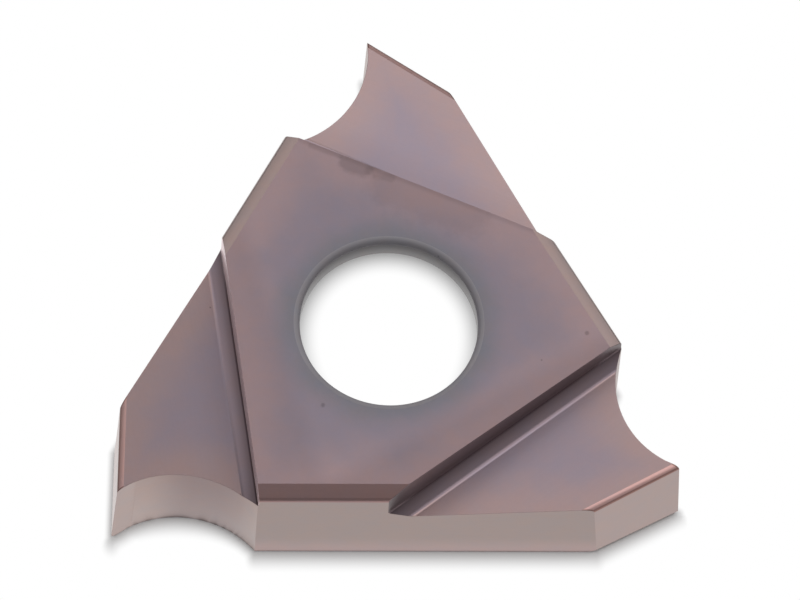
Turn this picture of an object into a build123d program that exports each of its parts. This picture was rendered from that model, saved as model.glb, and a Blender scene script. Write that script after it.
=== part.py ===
from build123d import *
from math import cos, hypot, radians, sin, sqrt, tan
import os

# Grooving insert, one piece of coated cemented carbide with three identical corners.
# Lengths are in millimetres and angles in degrees. The origin is on the hole axis in
# the underside plane, and +Z points out of the side that carries the corner recesses.

corner_count = 3
inscribed_circle = 9.525
thickness = 3.175

# Hole: a rounded rim, a short straight land, then a seat for the screw head that opens
# down to the underside.
hole_diameter = 4.40
hole_rim_round = 0.16
hole_land = 0.49
seat_angle = 55.0

# Front flank that cuts off each corner of the triangle.
flank_distance = 6.532
flank_angle = 27.5

# Flute whose wall is the rake face, and how near it comes to the hole axis.
flute_radius = 2.53
flute_distance = 5.715
flute_direction = -9.3

# Width of the cutting edge, from the underside to the recess floor at the tip.
cutting_width = 2.65
corner_radius = 0.15

# Recess ground into the upper face behind each tip, up to a straight wall. At the foot
# of the wall a ramp runs down into the floor, which rises from there to the tip. Both
# ends of the ramp are rounded hollow.
wall_distance = 3.785
wall_angle = 36.6
rise_away_from_wall = 4.2
rise_along_wall = 3.3
ramp_width = 0.33
ramp_drop = 0.20
wall_foot_round = 0.12
ramp_foot_round = 0.24

# Bevel along what is left of the upper edge on each long side.
bevel_width = 0.375
bevel_drop = 0.205

# The corner drawn here is at the right hand end of the side that faces -Y. Its tip is
# where the flank meets the wall of the flute.
half_width = inscribed_circle / 2
reach = 2 * inscribed_circle

flank_along = Vector(cos(radians(flank_angle)), sin(radians(flank_angle)))
flank_normal = Vector(flank_along.Y, -flank_along.X)

flute_centre_distance = flute_distance + flute_radius
flute_centre = Vector(
    flute_centre_distance * cos(radians(flute_direction)),
    flute_centre_distance * sin(radians(flute_direction)),
)
flute_to_flank = flank_distance - flute_centre.dot(flank_normal)
half_chord = sqrt(flute_radius**2 - flute_to_flank**2)
tip = flute_centre + flank_normal * flute_to_flank - flank_along * half_chord

wall_along = Vector(cos(radians(wall_angle)), sin(radians(wall_angle)))
wall_normal = Vector(wall_along.Y, -wall_along.X)
tip_to_wall = tip.dot(wall_normal) - wall_distance

# The section of the recess is drawn through the tip, square to the line in which the
# grinding wheel travels. The wheel sinks from the flute to the long side, so that the
# floor climbs along the wall as well as away from it.
wheel_travel = wall_along * -cos(radians(rise_along_wall)) - Vector(
    0, 0, sin(radians(rise_along_wall))
)
recess_plane = Plane(
    origin=(tip.X, tip.Y, cutting_width),
    x_dir=wall_normal,
    z_dir=wheel_travel,
)
floor_slope = tan(radians(rise_away_from_wall))
ramp_foot_height = (ramp_width - tip_to_wall) * floor_slope

with BuildPart() as recess:
    with BuildSketch(recess_plane):
        with BuildLine():
            Polyline(
                (-tip_to_wall, reach),
                (-tip_to_wall, ramp_foot_height + ramp_drop),
                (ramp_width - tip_to_wall, ramp_foot_height),
                (reach, reach * floor_slope),
                (reach, reach),
                close=True,
            )
        make_face()
        wall_foot = vertices().group_by(Axis.X)[0].sort_by(Axis.Y)[0]
        fillet(wall_foot, wall_foot_round)
        ramp_foot = vertices().sort_by(Axis.Y)[0]
        fillet(ramp_foot, ramp_foot_round)
    extrude(amount=reach, both=True)

seat_depth = thickness - hole_rim_round - hole_land
seat_mouth_radius = hole_diameter / 2 + seat_depth * tan(radians(seat_angle / 2))

with BuildPart() as grooving_insert:
    # Triangle with a flank and a flute cut into each corner.
    with BuildSketch():
        RegularPolygon(half_width, corner_count, major_radius=False, rotation=90)
        with PolarLocations(0, corner_count):
            with Locations(flute_centre):
                Circle(flute_radius, mode=Mode.SUBTRACT)
            with Locations(Location(flank_normal * flank_distance, flank_angle)):
                Rectangle(reach, reach, align=(Align.CENTER, Align.MAX), mode=Mode.SUBTRACT)
    extrude(amount=thickness)

    upper_face = faces().sort_by(Axis.Z)[-1]
    side_edges = upper_face.edges().filter_by(GeomType.LINE).group_by(SortBy.LENGTH)[-1]
    chamfer(side_edges, bevel_width, bevel_drop, reference=upper_face)

    with PolarLocations(0, corner_count):
        add(recess.part, mode=Mode.SUBTRACT)

    # The screw goes in from the underside.
    with Locations(Location((0, 0, 0), (180, 0, 0))):
        CounterSinkHole(
            radius=hole_diameter / 2,
            counter_sink_radius=seat_mouth_radius,
            counter_sink_angle=seat_angle,
        )
    hole_rim = faces().sort_by(Axis.Z)[-1].inner_wires()[0].edges()
    fillet(hole_rim, hole_rim_round)

    # Corner radius at both ends of each cutting edge, carried along the flank.
    flat_faces = faces().filter_by(GeomType.PLANE)
    flanks = flat_faces.sort_by(lambda face: hypot(face.center().X, face.center().Y))[-corner_count:]
    flank_ends = flanks.edges().filter_by(lambda edge: abs(edge.tangent_at(0.5).Z) < 0.5)
    fillet(flank_ends, corner_radius)

grooving_insert.part.label = "grooving_insert"

os.makedirs("parts", exist_ok=True)
export_step(grooving_insert.part, "parts/grooving_insert.step")
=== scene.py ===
import bmesh
import bpy
import numpy as np
from mathutils import Matrix, Vector


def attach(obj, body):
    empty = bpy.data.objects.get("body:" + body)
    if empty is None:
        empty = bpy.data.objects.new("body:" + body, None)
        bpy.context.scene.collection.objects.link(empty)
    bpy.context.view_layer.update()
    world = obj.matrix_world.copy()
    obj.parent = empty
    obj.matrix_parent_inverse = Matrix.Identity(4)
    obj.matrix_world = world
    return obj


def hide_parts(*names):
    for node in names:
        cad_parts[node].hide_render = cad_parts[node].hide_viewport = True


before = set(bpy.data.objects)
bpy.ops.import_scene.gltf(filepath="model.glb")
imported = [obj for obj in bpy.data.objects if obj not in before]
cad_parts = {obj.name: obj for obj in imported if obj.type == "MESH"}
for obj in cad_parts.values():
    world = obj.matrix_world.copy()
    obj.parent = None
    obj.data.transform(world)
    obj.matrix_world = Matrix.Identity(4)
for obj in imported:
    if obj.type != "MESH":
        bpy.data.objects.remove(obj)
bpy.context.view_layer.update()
print("frame loaded:", ", ".join(sorted(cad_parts)))

millimetre = 0.001  # in metres, the unit of the frame

# Degrees in the plane: the turns from the front corner to each of the three, about where
# the front corner lies, and where the long sides on either hand of it face.
cornerStep = 120
cornerTurns = [0, cornerStep, 2 * cornerStep]
cornerHeading = -40
sideHeadings = (-90, 30)

# Millimetres and degrees, as in the CAD source. The scene's own are the round at the
# bevel's foot, the soft edges with their hone, and the lean of the flanks, given as how
# far out they reach at the foot.
insertShape = {
    "inscribedCircle": 9.525,
    "thickness": 3.175,
    "flankDistance": 6.532,
    "flankAngle": 27.5,
    "flankLean": 0.09,
    "fluteRadius": 2.53,
    "fluteDistance": 5.715,
    "fluteDirection": -9.3,
    "fluteSteps": 40,
    "bevelWidth": 0.375,
    "bevelDrop": 0.205,
    "bevelRound": 0.17,
    "bevelSteps": 6,
    "cuttingWidth": 2.65,
    "wallDistance": 3.785,
    "wallAngle": 36.6,
    "riseAway": 4.2,
    "riseAlong": 3.3,
    "rampWidth": 0.33,
    "rampDrop": 0.20,
    "wallFootRound": 0.12,
    "rampFootRound": 0.24,
    "footSteps": 6,
    "holeDiameter": 4.40,
    "rimRound": 0.16,
    "rimSteps": 7,
    "holeLand": 0.49,
    "seatAngle": 55.0,
    "holeSteps": 160,
    "cornerRadius": 0.15,
    "cornerSteps": 6,
    "softest": 0.02,
    "softSteps": 3,
    "softEdges": {("lappedFace", "recessWall"): 0.02, ("lappedFace", "sideBevel"): 0},
    "hone": 0.012,
}

# Limits of the mesh work: lengths in millimetres, turns in degrees, and how far the
# normal of a face points up, or out.
limits = {
    "cut": 1e-6,
    "weld": 1e-4,
    "sameLength": 0.01,
    "sameRadius": 0.02,
    "besideHole": 0.1,
    "flatTurn": 0.2,
    "sharpTurn": 24,
    "upright": 0.01,
    "upward": 0.1,
    "steep": 0.3,
    "levelEnd": 0.9,
    "floorLevel": 0.985,
    "level": 0.999,
    "sideward": 0.99,
    "flankward": 0.999,
}


# Unit vector in the plane, at an angle to +X.
def heading(degrees):
    angle = np.radians(degrees)
    return np.array([np.cos(angle), np.sin(angle)])


# Points of the plane turned about the hole axis.
def turnedBy(points, degrees):
    cos, sin = heading(degrees)
    return points @ np.array([[cos, sin], [-sin, cos]])


# The lines and the circle that bound one corner, as plain numbers for mesh and materials.
def cornerLines(s):
    halfWidth = s["inscribedCircle"] / 2
    along = heading(s["flankAngle"])
    flankNormal = heading(s["flankAngle"] - 90)
    centre = heading(s["fluteDirection"]) * (s["fluteDistance"] + s["fluteRadius"])
    toFlank = s["flankDistance"] - centre @ flankNormal
    tip = centre + flankNormal * toFlank - along * np.sqrt(s["fluteRadius"] ** 2 - toFlank**2)
    return {
        "halfWidth": halfWidth,
        "flankNormal": flankNormal,
        "fluteCentre": centre,
        "tip": tip,
        "wallNormal": heading(s["wallAngle"] - 90),
        "wallAlong": heading(s["wallAngle"]),
    }


# Outline of the plate at a height: for each corner the start of the flank, then the arc
# centre + radius * (cos a, sin a) of the flute from the tip to the next long side. The
# flanks lean out towards the underside.
def plateOutline(s, height):
    out = s["flankLean"] * (1 - height / s["cuttingWidth"])
    c = cornerLines(s)
    tip = cornerLines(s | {"flankDistance": s["flankDistance"] + out})["tip"]
    flank, centre, halfWidth = c["flankNormal"], c["fluteCentre"], c["halfWidth"]
    start = np.array([(s["flankDistance"] + out + halfWidth * flank[1]) / flank[0], -halfWidth])
    nextSide = sideHeadings[1]
    toSide = centre @ heading(nextSide) - halfWidth
    halfChord = np.sqrt(s["fluteRadius"] ** 2 - toSide**2)
    fluteEnd = centre - heading(nextSide) * toSide + heading(nextSide + 90) * halfChord
    ends = [np.arctan2(*(point - centre)[::-1]) % (2 * np.pi) for point in (c["tip"], fluteEnd)]
    # a long first step leaves room for the rounded end of the flank
    sweep = np.delete(np.linspace(*ends, s["fluteSteps"] + 1), [1, 2, 3])
    arc = centre + s["fluteRadius"] * np.column_stack([np.cos(sweep), np.sin(sweep)])
    corner = np.vstack([start, tip, arc[1:]])
    return np.vstack([turnedBy(corner, degrees) for degrees in cornerTurns])


# A solid between two rings of as many points each.
def spanned(first, second):
    count = len(first)
    ring = np.arange(count)
    after = np.roll(ring, -1)
    walls = np.column_stack([ring, after, after + count, ring + count])
    ends = [ring[::-1].tolist(), (ring + count).tolist()]
    return np.vstack([first, second]), walls.tolist() + ends


# A closed profile carried along a straight path: point (u, v) of the profile goes to
# origin + u * across + v * up + path, once at each end of the path.
def carried(profile, origin, across, up, path):
    flat = np.asarray(origin) + profile[:, :1] * across + profile[:, 1:] * up
    return spanned(flat + path[0], flat + path[1])


# A surface of revolution about the hole axis: (r cos a, r sin a, h) over a grid of
# profile points (r, h) and angles a, closed by a face at each end.
def revolved(radii, heights, steps):
    angle = np.linspace(0, 2 * np.pi, steps, endpoint=False)
    rings = len(radii)
    points = np.empty((rings, steps, 3))
    points[..., 0] = radii[:, None] * np.cos(angle)
    points[..., 1] = radii[:, None] * np.sin(angle)
    points[..., 2] = heights[:, None]
    grid = np.arange(rings * steps).reshape(rings, steps)
    after = np.roll(grid, -1, axis=1)
    walls = np.stack([grid[:-1], after[:-1], after[1:], grid[1:]], axis=-1).reshape(-1, 4)
    return points.reshape(-1, 3), walls.tolist() + [grid[0, ::-1].tolist(), grid[-1].tolist()]


def meshObject(name, points, faces, closed=True):
    mesh = bpy.data.meshes.new(name)
    mesh.from_pydata(points.tolist(), [], faces)
    if closed:
        form = bmesh.new()
        form.from_mesh(mesh)
        bmesh.ops.recalc_face_normals(form, faces=form.faces)
        form.to_mesh(mesh)
        form.free()
    made = bpy.data.objects.new(name, mesh)
    bpy.context.scene.collection.objects.link(made)
    return made


# A left turn of a path made round: centre + radius * (sin a, -cos a), where a runs from
# the heading of the way in to the heading of the way out.
def roundTurn(before, corner, after, radius, steps):
    wayIn, wayOut = np.subtract(corner, before), np.subtract(after, corner)
    start, end = (np.arctan2(way[1], way[0]) for way in (wayIn, wayOut))
    wayIn = wayIn / np.hypot(*wayIn)
    tangent = corner - wayIn * radius * np.tan((end - start) / 2)
    centre = tangent + radius * np.array([-wayIn[1], wayIn[0]])
    angle = np.linspace(start, end, steps + 1)
    return centre + radius * np.column_stack([np.sin(angle), -np.cos(angle)])


# Section of the ground recess behind a tip, u away from the wall and v up.
def recessSection(s, tipToWall, reach):
    slope = np.tan(np.radians(s["riseAway"]))
    rampFoot = [s["rampWidth"] - tipToWall, (s["rampWidth"] - tipToWall) * slope]
    wallFoot = [-tipToWall, rampFoot[1] + s["rampDrop"]]
    wallTop, tipEnd = [-tipToWall, reach], [reach, reach * slope]
    upper = roundTurn(wallTop, wallFoot, rampFoot, s["wallFootRound"], s["footSteps"])
    lower = roundTurn(wallFoot, rampFoot, tipEnd, s["rampFootRound"], s["footSteps"])
    return np.vstack([wallTop, upper, lower, tipEnd, [reach, reach]])


def recessCutter(s, degrees):
    c = cornerLines(s)
    reach = 2 * s["inscribedCircle"]
    rise = np.radians(s["riseAlong"])
    travel = np.array([*turnedBy(c["wallAlong"], degrees) * np.cos(rise), np.sin(rise)])
    across = np.array([*turnedBy(c["wallNormal"], degrees), 0])
    up = np.cross(across, travel)
    origin = [*turnedBy(c["tip"], degrees), s["cuttingWidth"]]
    section = recessSection(s, c["tip"] @ c["wallNormal"] - s["wallDistance"], reach)
    path = [-travel * reach, travel * reach]
    return meshObject("recessCutter", *carried(section, origin, across, up, path))


# The hole from below: the screw seat narrows to a short land, and the rim opens again
# along a quarter circle, radius + round * (1 - cos a) at land top + round * sin a.
def holeCutter(s):
    radius = s["holeDiameter"] / 2
    landTop = s["thickness"] - s["rimRound"]
    landFoot = landTop - s["holeLand"]
    below = above = 1.0
    flare = np.tan(np.radians(s["seatAngle"] / 2))
    angle = np.linspace(0, np.pi / 2, s["rimSteps"] + 1)
    rim = radius + s["rimRound"] * (1 - np.cos(angle))
    radii = np.concatenate([[radius + (landFoot + below) * flare, radius], rim, rim[-1:]])
    heights = landTop + s["rimRound"] * np.sin(angle)
    heights = np.concatenate([[-below, landFoot], heights, [s["thickness"] + above]])
    return meshObject("holeCutter", *revolved(radii, heights, s["holeSteps"]))


# Puts the mesh that the modifiers make in the place of the one they start from.
def settle(body):
    seen = body.evaluated_get(bpy.context.evaluated_depsgraph_get())
    body.data = bpy.data.meshes.new_from_object(seen)
    body.modifiers.clear()


def cutAway(body, cutters):
    for cutter in cutters:
        cut = body.modifiers.new(cutter.name, "BOOLEAN")
        cut.operation, cut.solver, cut.object = "DIFFERENCE", "EXACT", cutter
    settle(body)
    for cutter in cutters:
        bpy.data.objects.remove(cutter)


# Planes that cut the bevel, and then its rounded foot: in the section square to a long
# side, those through middle + round * n with normal n = (cos a, sin a), for angles a
# from the bevel's own down towards the side's.
def bevelPlanes(s):
    steep = np.arctan2(s["bevelWidth"], s["bevelDrop"])
    foot = np.array([s["inscribedCircle"] / 2, s["thickness"] - s["bevelDrop"]])
    middle = foot - s["bevelRound"] * np.array([1, np.tan(steep / 2)])
    angles = np.linspace(steep, 0, s["bevelSteps"] + 1)[:-1]
    normals = np.column_stack([np.cos(angles), np.sin(angles)])
    return [(middle + s["bevelRound"] * normal, normal) for normal in normals]


def bevelLongSides(form, s):
    for degrees in cornerTurns:
        side = turnedBy(heading(sideHeadings[0]), degrees)
        for point, normal in bevelPlanes(s):
            cut = bmesh.ops.bisect_plane(
                form,
                geom=form.verts[:] + form.edges[:] + form.faces[:],
                dist=limits["cut"],
                plane_co=(*side * point[0], point[1]),
                plane_no=(*side * normal[0], normal[1]),
                clear_outer=True,
            )
            rim = [part for part in cut["geom_cut"] if isinstance(part, bmesh.types.BMEdge)]
            bmesh.ops.contextual_create(form, geom=rim)
    bmesh.ops.recalc_face_normals(form, faces=form.faces)


# Both ends of each cutting edge are rounded, all along the flank.
def roundFlanks(form, s):
    normals = [turnedBy(cornerLines(s)["flankNormal"], degrees) for degrees in cornerTurns]

    def isFlank(face):
        return max(normal @ face.normal[:2] for normal in normals) > limits["flankward"]

    def isEnd(edge):
        return max(abs(face.normal.z) for face in edge.link_faces) > limits["levelEnd"]

    edges = {edge for face in form.faces if isFlank(face) for edge in face.edges}
    bmesh.ops.bevel(
        form,
        geom=[edge for edge in edges if isEnd(edge)],
        offset=s["cornerRadius"],
        offset_type="OFFSET",
        profile_type="SUPERELLIPSE",
        profile=0.5,
        segments=s["cornerSteps"],
        affect="EDGES",
    )


# Which finish a face has, from its normal and from its middle turned to the front corner.
def finishOf(face, s, c):
    normal, middle = np.array(face.normal), np.array(face.calc_center_median())
    rise = normal[2]
    if rise < -limits["level"]:
        return "seatFace"
    if rise > limits["level"] and middle[2] > s["thickness"] - limits["sameLength"]:
        return "lappedFace"
    if np.hypot(*middle[:2]) < s["wallDistance"] - limits["besideHole"]:
        return "holeRim" if rise > limits["upward"] else "holeWall"
    angle = np.degrees(np.arctan2(middle[1], middle[0]))
    back = -cornerStep * np.round((angle - cornerHeading) / cornerStep)
    place, facing = turnedBy(middle[:2], back), turnedBy(normal[:2], back)
    if c["flankNormal"] @ place > s["flankDistance"] - s["cornerRadius"]:
        return "flankEdge" if rise > limits["upward"] else "flank"
    sides = [heading(degrees) for degrees in sideHeadings]
    toSide = max(side @ place for side in sides) - c["halfWidth"]
    toFlute = np.hypot(*(place - c["fluteCentre"])) - s["fluteRadius"]
    upright = abs(rise) < limits["upright"]
    if upright and abs(toSide) < limits["sameLength"]:
        return "longSide"
    if upright and abs(toFlute) < limits["sameRadius"]:
        return "flute"
    if rise > limits["floorLevel"]:
        return "recessFloor"
    outward = max(side @ facing for side in sides) > limits["sideward"] * np.hypot(*facing)
    if outward and toSide > -s["bevelWidth"]:
        return "sideBevel"
    return "recessWall" if rise < limits["steep"] else "shoulder"


# A share of the widest softening for each sharp edge, by the finishes that meet there.
def weighEdges(form, s):
    share = form.edges.layers.float.new("bevel_weight_edge")
    for edge in form.edges:
        if edge.calc_face_angle() > np.radians(limits["sharpTurn"]):
            meet = tuple(sorted(finishNames[face.material_index] for face in edge.link_faces))
            edge[share] = s["softEdges"].get(meet, s["hone"]) / s["softest"]


# The upper face keeps a crease along the bevels of the long sides.
def creaseBevels(mesh):
    pair = {finishNames.index(name) for name in ("lappedFace", "sideBevel")}
    form = bmesh.new()
    form.from_mesh(mesh)
    for edge in form.edges:
        edge.smooth = {face.material_index for face in edge.link_faces} != pair
    form.to_mesh(mesh)
    form.free()


def buildInsert(s):
    rings = [
        np.pad(plateOutline(s, height), ((0, 0), (0, 1)), constant_values=height)
        for height in (0, s["thickness"])
    ]
    body = meshObject("carbideInsert", *spanned(*rings))
    form = bmesh.new()
    form.from_mesh(body.data)
    bevelLongSides(form, s)
    form.to_mesh(body.data)
    cutAway(body, [recessCutter(s, degrees) for degrees in cornerTurns] + [holeCutter(s)])
    form.clear()
    form.from_mesh(body.data)
    bmesh.ops.remove_doubles(form, verts=form.verts, dist=limits["weld"])
    flatTurn = np.radians(limits["flatTurn"])
    bmesh.ops.dissolve_limit(form, angle_limit=flatTurn, verts=form.verts, edges=form.edges)
    roundFlanks(form, s)
    c = cornerLines(s)
    for face in form.faces:
        face.material_index = finishNames.index(finishOf(face, s, c))
    weighEdges(form, s)
    form.to_mesh(body.data)
    form.free()
    body.data.shade_smooth()
    body.data.transform(Matrix.Scale(millimetre, 4))
    soften = body.modifiers.new("softEdges", "BEVEL")
    soften.limit_method = "WEIGHT"
    soften.offset_type = "OFFSET"
    soften.width = s["softest"] * millimetre
    soften.segments = s["softSteps"]
    soften.use_clamp_overlap = False
    settle(body)
    creaseBevels(body.data)
    evenOut = body.modifiers.new("flatFaces", "WEIGHTED_NORMAL")
    evenOut.weight = 100
    evenOut.keep_sharp = True
    return body


finishNames = [
    "lappedFace",
    "recessFloor",
    "recessWall",
    "shoulder",
    "sideBevel",
    "longSide",
    "flank",
    "flankEdge",
    "flute",
    "holeRim",
    "holeWall",
    "seatFace",
]

insert = buildInsert(insertShape)
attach(insert, "root")
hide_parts("grooving_insert")
print("insert built:", len(insert.data.polygons), "faces")


# A colour as it looks on a screen, 0 to 255, as the numbers that a shader takes.
def paint(red, green, blue):
    value = np.array([red, green, blue]) / 255
    linear = np.where(value < 0.04045, value / 12.92, ((value + 0.055) / 1.055) ** 2.4)
    return (*linear.tolist(), 1.0)


def newTree(owner):
    owner.use_nodes = True
    owner.node_tree.nodes.clear()
    return owner.node_tree


def feed(tree, socket, value):
    if isinstance(value, bpy.types.NodeSocket):
        tree.links.new(value, socket)
    else:
        socket.default_value = value


def calc(tree, operation, *terms):
    made = tree.nodes.new("ShaderNodeMath")
    made.operation = operation
    for socket, term in zip(made.inputs, terms):
        feed(tree, socket, term)
    return made.outputs[0]


def calcVector(tree, operation, *terms):
    made = tree.nodes.new("ShaderNodeVectorMath")
    made.operation = operation
    sockets = [made.inputs[0], made.inputs[3] if operation == "SCALE" else made.inputs[1]]
    for socket, term in zip(sockets, terms):
        feed(tree, socket, term)
    return made.outputs["Value" if operation in ("DOT_PRODUCT", "LENGTH") else "Vector"]


def fade(tree, value, low, high):
    made = tree.nodes.new("ShaderNodeMapRange")
    made.interpolation_type = "SMOOTHSTEP"
    feed(tree, made.inputs["Value"], value)
    feed(tree, made.inputs["From Min"], low)
    feed(tree, made.inputs["From Max"], high)
    return made.outputs["Result"]


def blendColour(tree, factor, first, second, mode="MIX"):
    made = tree.nodes.new("ShaderNodeMix")
    made.data_type, made.blend_type = "RGBA", mode
    feed(tree, made.inputs["Factor"], factor)
    feed(tree, made.inputs["A"], first)
    feed(tree, made.inputs["B"], second)
    return made.outputs["Result"]


def noise(tree, vector, scale, detail=3.0, rough=0.6):
    made = tree.nodes.new("ShaderNodeTexNoise")
    feed(tree, made.inputs["Vector"], vector)
    feed(tree, made.inputs["Scale"], scale)
    feed(tree, made.inputs["Detail"], detail)
    feed(tree, made.inputs["Roughness"], rough)
    return made.outputs["Fac"]


def newGroup(name, inputs, outputs):
    group = bpy.data.node_groups.new(name, "ShaderNodeTree")
    for label, (kind, value) in inputs.items():
        socket = group.interface.new_socket(label, in_out="INPUT", socket_type="NodeSocket" + kind)
        if value is not None:
            socket.default_value = value
    for label, kind in outputs.items():
        group.interface.new_socket(label, in_out="OUTPUT", socket_type="NodeSocket" + kind)
    given = group.nodes.new("NodeGroupInput").outputs
    return group, given, group.nodes.new("NodeGroupOutput").inputs


def useGroup(tree, group, **values):
    made = tree.nodes.new("ShaderNodeGroup")
    made.node_tree = group
    for label, value in values.items():
        feed(tree, made.inputs[label], value)
    return made.outputs


# Where a point lies on the insert, in millimetres: in from the upper face's edges, out
# from the hole, out from the nearest recess wall and along it, in from the outline, and
# up from the underside.
def placesGroup(s):
    c = cornerLines(s)
    group, given, out = newGroup(
        "insertPlaces",
        {"Position": ("Vector", None)},
        {name: "Float" for name in ("Rim", "Bore", "Wall", "Along", "Outline", "Height")}
        | {"Millimetres": "Vector"},
    )
    point = calcVector(group, "SCALE", given["Position"], 1 / millimetre)
    split = group.nodes.new("ShaderNodeSeparateXYZ")
    feed(group, split.inputs[0], point)
    level = calcVector(group, "MULTIPLY", point, (1.0, 1.0, 0.0))
    radius = calcVector(group, "LENGTH", level)

    def gap(vector, normal, distance):
        reach = calcVector(group, "DOT_PRODUCT", vector, (*normal, 0.0))
        return calc(group, "SUBTRACT", distance, reach)

    def least(gaps):
        first = gaps[0]
        for other in gaps[1:]:
            first = calc(group, "MINIMUM", first, other)
        return first

    frontSide = heading(sideHeadings[0])
    bevelTop = c["halfWidth"] - s["bevelWidth"]
    rims = [gap(level, turnedBy(c["wallNormal"], turn), s["wallDistance"]) for turn in cornerTurns]
    rims += [gap(level, turnedBy(frontSide, turn), bevelTop) for turn in cornerTurns]
    # turn the point back to the front corner
    angle = calc(group, "ARCTAN2", split.outputs["Y"], split.outputs["X"])
    angle = calc(group, "SUBTRACT", angle, np.radians(cornerHeading))
    sector = calc(group, "ROUND", calc(group, "DIVIDE", angle, np.radians(cornerStep)))
    back = calc(group, "MULTIPLY", sector, -np.radians(cornerStep))
    spin = group.nodes.new("ShaderNodeVectorRotate")
    spin.rotation_type = "Z_AXIS"
    feed(group, spin.inputs["Vector"], level)
    feed(group, spin.inputs["Angle"], back)
    folded = spin.outputs["Vector"]
    toFlute = calcVector(group, "SUBTRACT", folded, (*c["fluteCentre"], 0.0))
    fluteGap = calc(group, "SUBTRACT", calcVector(group, "LENGTH", toFlute), s["fluteRadius"])
    bounds = [gap(folded, heading(side), c["halfWidth"]) for side in sideHeadings]
    bounds += [gap(folded, c["flankNormal"], s["flankDistance"]), fluteGap]
    results = {
        "Rim": least(rims),
        "Bore": calc(group, "SUBTRACT", radius, s["holeDiameter"] / 2),
        "Wall": calc(group, "MULTIPLY", gap(folded, c["wallNormal"], s["wallDistance"]), -1.0),
        "Along": calcVector(group, "DOT_PRODUCT", folded, (*c["wallAlong"], 0.0)),
        "Outline": least(bounds),
        "Height": split.outputs["Z"],
        "Millimetres": point,
    }
    for label, value in results.items():
        feed(group, out[label], value)
    return group


# How many times a millimetre the patterns repeat, about, and from which share of its
# radius to which a stain fades out.
patterns = {
    "patchScale": 0.9,
    "pitScale": 1.6,
    "stainScale": 3.0,
    "stainFade": (0.4, 1.1),
}


# Two tones, from an edge into a face, with uneven patches between them, used both for the
# coating's own colours and for painted light and shade.
def tintAndPaintedLightGroup():
    group, given, out = newGroup(
        "coatTintAndPaintedLight",
        {
            "Distance": ("Float", 0.0),
            "Spread": ("Float", 1.0),
            "Edge": ("Color", None),
            "Body": ("Color", None),
            "Point": ("Vector", None),
            "Patches": ("Float", 0.5),
        },
        {"Colour": "Color"},
    )
    patch = noise(group, given["Point"], patterns["patchScale"], rough=0.55)
    patch = calc(group, "SUBTRACT", patch, 0.5)
    moved = calc(group, "MULTIPLY_ADD", patch, given["Patches"], given["Distance"])
    share = fade(group, moved, 0.0, given["Spread"])
    feed(group, out["Colour"], blendColour(group, share, given["Edge"], given["Body"]))
    return group


# Fine lines left by the wheel: noise drawn out along one direction.
def grindGroup():
    group, given, out = newGroup(
        "grindLines",
        {
            "Along": ("Float", 0.0),
            "Across": ("Float", 0.0),
            "Pitch": ("Float", 0.05),
            "Length": ("Float", 2.0),
        },
        {"Line": "Float"},
    )
    joined = group.nodes.new("ShaderNodeCombineXYZ")
    feed(group, joined.inputs["X"], calc(group, "DIVIDE", given["Along"], given["Length"]))
    feed(group, joined.inputs["Y"], calc(group, "DIVIDE", given["Across"], given["Pitch"]))
    feed(group, out["Line"], noise(group, joined.outputs[0], 1.0, detail=2.0))
    return group


# Small dark pits: cells of a Voronoi pattern, of which only a few are used.
def pitGroup():
    group, given, out = newGroup(
        "coatPits",
        {"Point": ("Vector", None), "Share": ("Float", 0.03), "Radius": ("Float", 0.06)},
        {"Pit": "Float"},
    )
    cells = group.nodes.new("ShaderNodeTexVoronoi")
    feed(group, cells.inputs["Vector"], given["Point"])
    feed(group, cells.inputs["Scale"], patterns["pitScale"])
    split = group.nodes.new("ShaderNodeSeparateColor")
    feed(group, split.inputs[0], cells.outputs["Color"])
    used = calc(group, "LESS_THAN", split.outputs[0], given["Share"])
    away = fade(group, cells.outputs["Distance"], 0.0, given["Radius"])
    feed(group, out["Pit"], calc(group, "MULTIPLY", used, calc(group, "SUBTRACT", 1.0, away)))
    return group


# A dull stain about a straight stretch of the upper face, with a ragged edge.
def stainGroup():
    group, given, out = newGroup(
        "coatStain",
        {
            "Point": ("Vector", None),
            "Start": ("Vector", None),
            "End": ("Vector", None),
            "Radius": ("Float", 0.1),
        },
        {"Stain": "Float"},
    )
    level = calcVector(group, "MULTIPLY", given["Point"], (1.0, 1.0, 0.0))
    reach = calcVector(group, "SUBTRACT", level, given["Start"])
    run = calcVector(group, "SUBTRACT", given["End"], given["Start"])
    length = calc(group, "MAXIMUM", calcVector(group, "DOT_PRODUCT", run, run), 1e-6)
    share = calc(group, "DIVIDE", calcVector(group, "DOT_PRODUCT", reach, run), length)
    share = calc(group, "MINIMUM", calc(group, "MAXIMUM", share, 0.0), 1.0)
    nearest = calcVector(group, "SUBTRACT", reach, calcVector(group, "SCALE", run, share))
    ragged = calc(group, "SUBTRACT", noise(group, level, patterns["stainScale"]), 0.5)
    away = calc(group, "DIVIDE", calcVector(group, "LENGTH", nearest), given["Radius"])
    away = fade(group, calc(group, "ADD", away, ragged), *patterns["stainFade"])
    feed(group, out["Stain"], calc(group, "SUBTRACT", 1.0, away))
    return group
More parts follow.
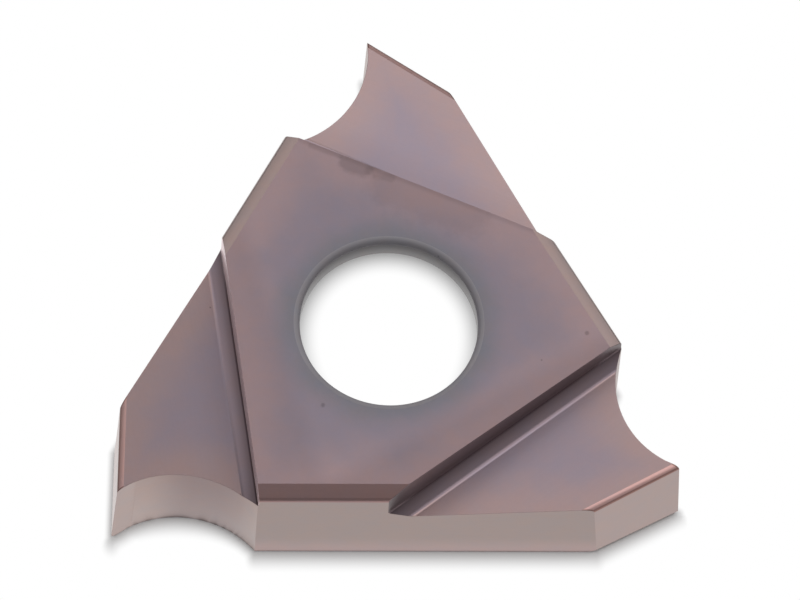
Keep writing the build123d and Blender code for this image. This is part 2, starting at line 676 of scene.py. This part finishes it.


# One finish of the coated carbide. Tones run in from an edge or off in a direction, some the
# coating's own colour and some painted light and shade; then come clouds, ground lines, grain
# and pits, and painted shades and stains lie on top.
def coatFinish(name, groups, c):
    material = bpy.data.materials.new(name)
    tree = newTree(material)
    out = tree.nodes.new("ShaderNodeOutputMaterial")
    coat = tree.nodes.new("ShaderNodeBsdfPrincipled")
    tree.links.new(coat.outputs[0], out.inputs["Surface"])
    where = tree.nodes.new("ShaderNodeTexCoord").outputs["Object"]
    places = useGroup(tree, groups["places"], Position=where)
    point = places["Millimetres"]

    # how far a point lies past the start of a layer, from an edge or in a direction
    def reachOf(layer):
        if "toward" in layer:
            reach = calcVector(tree, "DOT_PRODUCT", point, (*heading(layer["toward"]), 0.0))
        else:
            reach = places[layer["from"]]
        return calc(tree, "SUBTRACT", reach, layer.get("start", 0.0))

    colour = c["body"]
    for layer in c["tones"]:
        colour = useGroup(
            tree,
            groups["tint"],
            Distance=reachOf(layer),
            Spread=layer["spread"],
            Edge=layer["edge"],
            Body=colour,
            Point=point,
            Patches=layer.get("patches", 0.0),
        )["Colour"]
    cloud = fade(tree, noise(tree, point, c["cloudScale"]), *c["cloudFade"])
    cloud = blendColour(tree, cloud, *c["cloudTints"])
    colour = blendColour(tree, 1.0, colour, cloud, mode="MULTIPLY")
    lines = useGroup(
        tree,
        groups["grind"],
        Along=places[c["linesAlong"]],
        Across=places[c["linesAcross"]],
        Pitch=c["pitch"],
    )["Line"]
    grain = noise(tree, point, c["grainScale"], detail=2.0)
    tone = calc(tree, "MULTIPLY_ADD", lines, c["lineTone"], 1 - c["lineTone"] / 2)
    tone = calc(tree, "SUBTRACT", tone, c["grainTone"] / 2)
    tone = calc(tree, "MULTIPLY_ADD", grain, c["grainTone"], tone)
    pit = useGroup(tree, groups["pit"], Point=point, Share=c["pits"])["Pit"]
    tone = calc(tree, "MULTIPLY", tone, calc(tree, "MULTIPLY_ADD", pit, -c["pitDepth"], 1.0))
    # painted shade: each layer darkens the colour where less light falls
    for layer in c["paintedShades"]:
        light = fade(tree, reachOf(layer), 0.0, layer["spread"])
        light = calc(tree, "MULTIPLY_ADD", light, 1 - layer["dim"], layer["dim"])
        tone = calc(tree, "MULTIPLY", tone, light)
    for stain in c["stains"]:
        away = useGroup(
            tree,
            groups["stain"],
            Point=point,
            Start=(*stain["start"], 0.0),
            End=(*stain["end"], 0.0),
            Radius=stain["radius"],
        )["Stain"]
        tone = calc(tree, "MULTIPLY", tone, calc(tree, "MULTIPLY_ADD", away, -stain["depth"], 1.0))
    shade = tree.nodes.new("ShaderNodeCombineColor")
    for socket in shade.inputs:
        feed(tree, socket, tone)
    colour = blendColour(tree, 1.0, colour, shade.outputs[0], mode="MULTIPLY")
    feed(tree, coat.inputs["Base Color"], colour)
    rough = calc(tree, "MULTIPLY_ADD", grain, c["roughSpread"], c["rough"] - c["roughSpread"] / 2)
    feed(tree, coat.inputs["Roughness"], rough)
    coat.inputs["Metallic"].default_value = c["metal"]
    bump = tree.nodes.new("ShaderNodeBump")
    bump.inputs["Distance"].default_value = c["relief"] * millimetre
    height = calc(tree, "MULTIPLY_ADD", lines, c["lineRelief"], calc(tree, "SUBTRACT", grain, pit))
    feed(tree, bump.inputs["Height"], height)
    feed(tree, coat.inputs["Normal"], bump.outputs[0])
    return material


# What all the finishes share, and what each one has of its own. A tone or a painted shade
# starts so many millimetres from an edge, or from the hole axis toward a heading in degrees.
# A tone goes over from its edge colour to the body's across the spread; some tones are the
# coating's own colour and some are painted light and shade. A painted shade goes from its
# dim share of the light to all of it.
coating = {
    "tones": [],
    "paintedShades": [],
    "stains": [],
    "cloudScale": 2.2,
    "cloudFade": (0.3, 0.7),
    "cloudTints": [paint(255, 252, 251), paint(250, 252, 255)],
    "linesAlong": "Along",
    "linesAcross": "Wall",
    "pitch": 0.05,
    "lineTone": 0.04,
    "lineRelief": 0.2,
    "grainScale": 14.0,
    "grainTone": 0.04,
    "pits": 0.02,
    "pitDepth": 0.45,
    "rough": 0.32,
    "roughSpread": 0.06,
    "metal": 0.9,
    "relief": 0.001,
}
finishes = {
    "lappedFace": {
        "body": paint(149, 137, 147),
        "tones": [
            {"from": "Rim", "spread": 1.5, "edge": paint(171, 147, 149), "patches": 1.0},
            {"from": "Bore", "spread": 0.9, "edge": paint(130, 128, 135), "patches": 0.5},
        ],
        # painted shade: a dark line along the edge of the far recess, and darker towards the
        # front-right and left recesses
        "paintedShades": [
            {"toward": 66.6, "start": 3.77, "spread": -0.16, "dim": 0.84},
            {"toward": -60, "start": 3.35, "spread": -0.7, "dim": 0.84},
            {"toward": -165, "start": 3.1, "spread": -0.7, "dim": 0.88},
        ],
        "stains": [
            {"start": (-1.85, 4.86), "end": (-1.15, 4.56), "radius": 0.12, "depth": 0.12},
            {"start": (-1.00, 4.38), "end": (-0.52, 4.18), "radius": 0.28, "depth": 0.24},
            {"start": (-0.42, 4.15), "end": (0.10, 3.98), "radius": 0.17, "depth": 0.14},
            {"start": (0.2, 3.7), "end": (1.9, 3.0), "radius": 0.8, "depth": 0.11},
            {"start": (4.886, -0.273), "end": (4.886, -0.273), "radius": 0.07, "depth": 0.3},
            {"start": (-1.661, -2.254), "end": (-1.661, -2.254), "radius": 0.08, "depth": 0.3},
        ],
        "lineTone": 0.0,
        "lineRelief": 0.0,
        "pits": 0.035,
    },
    "recessFloor": {
        "body": paint(172, 156, 166),
        "tones": [
            {"from": "Outline", "spread": 1.45, "edge": paint(188, 162, 161), "patches": 0.7}
        ],
        # painted shade: darker next to the wall and in the far and left recesses
        "paintedShades": [
            {"from": "Wall", "start": 0.3, "spread": 1.1, "dim": 0.9},
            {"toward": -30, "start": 1.0, "spread": 2.5, "dim": 0.86},
            {"toward": -150, "start": 4.5, "spread": -2.0, "dim": 0.86},
        ],
    },
    "recessWall": {
        "body": paint(140, 120, 123),
        # painted shade and light: darker where the walls run out at the outline, and much lighter
        # on the left recess's wall
        "tones": [
            {"from": "Outline", "spread": 0.5, "edge": paint(100, 84, 86)},
            {"toward": 0, "start": -3.2, "spread": 0.7, "edge": paint(250, 224, 226)},
        ],
        "metal": 0.5,
    },
    "shoulder": {
        "body": paint(156, 139, 146),
        # painted shade: darker next to the wall, and towards the front ends of the right and left
        # recesses
        "tones": [{"from": "Wall", "spread": 0.32, "edge": paint(118, 102, 106)}],
        "paintedShades": [
            {"toward": 90, "start": -4.9, "spread": 1.2, "dim": 0.83},
            {"toward": -135, "start": 5.6, "spread": -1.6, "dim": 0.86},
        ],
    },
    "sideBevel": {
        "body": paint(165, 145, 141),
        # painted reflection and shade: darker along the outer edge, and darker and redder on the
        # front bevel
        "tones": [
            {"from": "Outline", "spread": 0.3, "edge": paint(150, 134, 131)},
            {"toward": 90, "start": -4.4, "spread": 1.5, "edge": paint(159, 130, 128)},
        ],
        "linesAcross": "Height",
    },
    "longSide": {
        "body": paint(156, 139, 134),
        "tones": [{"from": "Height", "spread": 0.9, "edge": paint(172, 149, 146), "patches": 0.2}],
        "linesAcross": "Height",
    },
    "flank": {
        "body": paint(168, 148, 143),
        # painted light: the left corner's flank is lighter, as its lit side
        "tones": [
            {"toward": 0, "start": -5.5, "spread": 1.0, "edge": paint(196, 180, 176)}
        ],
        "linesAcross": "Height",
    },
    "flankEdge": {
        # painted highlight: the rounded cutting edge is bright pink, with a dark line where it
        # turns down into the flank, and dimmed at the far and left corners
        "body": paint(232, 190, 184),
        "tones": [
            {"from": "Outline", "start": 0.012, "spread": 0.03, "edge": paint(166, 128, 120)}
        ],
        "paintedShades": [
            {"toward": -90, "start": -5.2, "spread": 1.5, "dim": 0.42},
            {"toward": 0, "start": -5.5, "spread": 1.0, "dim": 0.62},
        ],
        "rough": 0.5,
        "linesAcross": "Height",
    },
    "flute": {
        "body": paint(172, 152, 146),
        "tones": [
            {
                "from": "Wall",
                "start": 1.4,
                "spread": 1.4,
                "edge": paint(148, 130, 128),
                "patches": 0.3,
            },
            {
                "from": "Wall",
                "start": -0.3,
                "spread": 1.2,
                "edge": paint(168, 149, 143),
                "patches": 0.3,
            },
        ],
        "linesAcross": "Height",
    },
    "holeRim": {
        "body": paint(148, 144, 149),
        # painted shade: darker at the front of the rim
        "paintedShades": [{"toward": -90, "start": 1.7, "spread": -0.8, "dim": 0.87}],
        "lineTone": 0.0,
        "metal": 0.25,
        "rough": 0.6,
    },
    "holeWall": {
        # dark grey, partly the bare wall's own colour and partly painted shade at its top; the
        # foot and the front are painted lighter, for the floor and light it reflects
        "body": paint(95, 92, 93),
        "tones": [
            {"from": "Height", "start": 2.55, "spread": 0.45, "edge": paint(130, 127, 127)},
            {"toward": 90, "start": 0.5, "spread": 1.2, "edge": paint(136, 134, 134)},
        ],
        "linesAcross": "Height",
        "rough": 0.42,
    },
    "seatFace": {"body": paint(160, 145, 152), "lineTone": 0.03},
}
groups = {
    "places": placesGroup(insertShape),
    "tint": tintAndPaintedLightGroup(),
    "grind": grindGroup(),
    "pit": pitGroup(),
    "stain": stainGroup(),
}
for name in finishNames:
    insert.data.materials.append(coatFinish(name, groups, coating | finishes[name]))
print("finishes made:", len(insert.data.materials))

# The photograph's own viewpoint, in degrees and metres, the lens and its sensor in
# millimetres. What lies nearer or farther than the depth allows, as a factor on the
# distance, isn't drawn.
viewpoint = {
    "turn": 5.620,
    "tilt": 25.447,
    "roll": -5.255,
    "aside": (0.0003954, 0.0019114),
    "distance": 0.43831,
    "depth": 20,
    "lens": 794.1,
    "sensor": 36.0,
}


def addCamera(c):
    camera = bpy.data.objects.new("camera", bpy.data.cameras.new("camera"))
    bpy.context.scene.collection.objects.link(camera)
    camera.data.lens = c["lens"]
    camera.data.sensor_width = c["sensor"]
    camera.data.clip_start = c["distance"] / c["depth"]
    camera.data.clip_end = c["distance"] * c["depth"]
    turn = (
        Matrix.Rotation(-np.radians(c["turn"]), 4, "Z")
        @ Matrix.Rotation(np.radians(c["tilt"]), 4, "X")
        @ Matrix.Rotation(-np.radians(c["roll"]), 4, "Z")
    )
    camera.matrix_world = turn @ Matrix.Translation((*c["aside"], c["distance"]))
    bpy.context.scene.camera = camera


# The floor and its shadow in millimetres, the lamps in metres. Lamp levels are
# brightnesses: at 1 a white surface that sees only lamps is just white.
studio = {
    "roomLevel": 0.30,
    "floorNear": 9.5,
    "floorStep": 0.1,
    "floorFar": [12, 20, 60, 300, 3000],
    "floorDrop": 0.01,
    "floorColour": paint(238, 238, 238),
    "shadow": (-0.15, 0.62),
    "mirrored": (-0.05, 0.05),
    "mirroredNear": (12, 16),
    "underneath": -0.25,
    "elsewhere": 3.2,
    "inHole": {"middle": (0.12, 1.09), "radius": 2.46, "slope": 0.8, "front": 0.8},
    "lamps": {
        "overhead": {"place": (0.05, 0.005, 0.45), "size": (0.40, 0.39), "level": 0.93},
        "left": {"place": (-0.60, 0.25, 0.38), "size": (0.45, 0.40), "level": 0.38},
        "back": {"place": (-0.05, 0.55, 0.33), "size": (0.8, 0.52), "level": 0.95},
        "right": {"place": (0.50, 0.35, 0.30), "size": (0.5, 0.45), "level": 0.98},
    },
}


# How far points of the floor lie clear of the insert's foot, in millimetres: out from
# its outline, or in from the edge of what shows through the hole. Below zero is under
# the insert. The shadow falls to the front, so elsewhere the clearance counts for more.
def clearance(points, s, elsewhere, inHole):
    outline = plateOutline(s, 0)
    across, along = (points - inHole["middle"]).T
    along = np.where(along < 0, inHole["front"], 1) * along
    away = np.full(len(points), np.inf)
    ahead = np.zeros(len(points))
    inside = np.zeros(len(points), bool)
    for start, end in zip(outline, np.roll(outline, -1, axis=0)):
        run, reach = end - start, points - start
        share = np.clip(reach @ run / (run @ run), 0, 1)
        gap = reach - share[:, None] * run
        length = np.hypot(*gap.T)
        ahead = np.where(length < away, np.clip(-gap[:, 1] / (length + 1e-9), 0, 1), ahead)
        away = np.minimum(away, length)
        level = (start[1] > points[:, 1]) != (end[1] > points[:, 1])
        inside ^= level & (reach[:, 0] < reach[:, 1] * run[0] / (run[1] or 1))
    away *= elsewhere + (1 - elsewhere) * ahead
    seen = inHole["slope"] * (inHole["radius"] - np.hypot(across, along))
    return np.maximum(np.where(inside, -away, away), seen)


def addFloor(c, s):
    near = np.arange(-c["floorNear"], c["floorNear"] + c["floorStep"] / 2, c["floorStep"])
    line = np.concatenate([-np.array(c["floorFar"])[::-1], near, c["floorFar"]])
    count = len(line)
    level = np.stack(np.meshgrid(line, line), axis=-1).reshape(-1, 2)
    grid = np.arange(count * count).reshape(count, count)
    corners = [grid[:-1, :-1], grid[:-1, 1:], grid[1:, 1:], grid[1:, :-1]]
    squares = np.stack(corners, axis=-1).reshape(-1, 4)
    points = np.column_stack([level, np.full(len(level), -c["floorDrop"])]) * millimetre
    floor = meshObject("floor", points, squares.tolist(), closed=False)
    gap = floor.data.attributes.new("clearance", "FLOAT", "POINT")
    clear = clearance(level, s, c["elsewhere"], c["inHole"])
    gap.data.foreach_set("value", clear.astype(np.float32))
    material = bpy.data.materials.new("paleFloor")
    tree = newTree(material)
    read = tree.nodes.new("ShaderNodeAttribute")
    read.attribute_name = "clearance"
    outside = read.outputs["Fac"]
    clear = fade(tree, outside, *c["shadow"])
    path = tree.nodes.new("ShaderNodeLightPath")
    shownWhite = calc(tree, "MULTIPLY", path.outputs["Is Camera Ray"], clear)
    mirrored = fade(tree, outside, *c["mirrored"])
    mirrored = calc(tree, "MULTIPLY", path.outputs["Is Glossy Ray"], mirrored)
    matte = tree.nodes.new("ShaderNodeBsdfDiffuse")
    matte.inputs["Color"].default_value = c["floorColour"]
    white = tree.nodes.new("ShaderNodeEmission")
    # in reflections the floor is white near the insert and as dim as the room farther off
    where = tree.nodes.new("ShaderNodeTexCoord").outputs["Object"]
    where = calcVector(tree, "SCALE", where, 1 / millimetre)
    far = fade(tree, calcVector(tree, "LENGTH", where), *c["mirroredNear"])
    dim = calc(tree, "MULTIPLY_ADD", far, c["roomLevel"] - 1, 1.0)
    feed(tree, white.inputs["Strength"], calc(tree, "MAXIMUM", path.outputs["Is Camera Ray"], dim))
    lit = tree.nodes.new("ShaderNodeMixShader")
    feed(tree, lit.inputs[0], calc(tree, "MAXIMUM", shownWhite, mirrored))
    feed(tree, lit.inputs[1], matte.outputs[0])
    feed(tree, lit.inputs[2], white.outputs[0])
    # seen from below, and under the insert, the floor lets the view through
    under = calc(tree, "LESS_THAN", outside, c["underneath"])
    backfacing = tree.nodes.new("ShaderNodeNewGeometry").outputs["Backfacing"]
    through = tree.nodes.new("ShaderNodeMixShader")
    feed(tree, through.inputs[0], calc(tree, "MAXIMUM", backfacing, under))
    feed(tree, through.inputs[1], lit.outputs[0])
    feed(tree, through.inputs[2], tree.nodes.new("ShaderNodeBsdfTransparent").outputs[0])
    out = tree.nodes.new("ShaderNodeOutputMaterial")
    feed(tree, out.inputs["Surface"], through.outputs[0])
    floor.data.materials.append(material)


def addLamps(c):
    for name, lamp in c["lamps"].items():
        light = bpy.data.objects.new(name, bpy.data.lights.new(name, "AREA"))
        bpy.context.scene.collection.objects.link(light)
        width, height = lamp["size"]
        light.data.shape = "RECTANGLE"
        light.data.size, light.data.size_y = width, height
        light.data.energy = lamp["level"] * np.pi * width * height
        place = Vector(lamp["place"])
        aim = place.to_track_quat("Z", "Y").to_matrix().to_4x4()
        light.matrix_world = Matrix.Translation(place) @ aim


def addRoom(c):
    world = bpy.data.worlds.new("softRoom")
    bpy.context.scene.world = world
    tree = newTree(world)
    room = tree.nodes.new("ShaderNodeBackground")
    room.inputs["Color"].default_value = (1, 1, 1, 1)
    path = tree.nodes.new("ShaderNodeLightPath")
    share = calc(tree, "MULTIPLY", path.outputs["Is Camera Ray"], 1 - c["roomLevel"])
    feed(tree, room.inputs["Strength"], calc(tree, "ADD", share, c["roomLevel"]))
    out = tree.nodes.new("ShaderNodeOutputWorld")
    feed(tree, out.inputs["Surface"], room.outputs[0])


addCamera(viewpoint)
addFloor(studio, insertShape)
addLamps(studio)
addRoom(studio)
bpy.context.scene.view_settings.view_transform = "Standard"
print("camera, floor and lamps set")
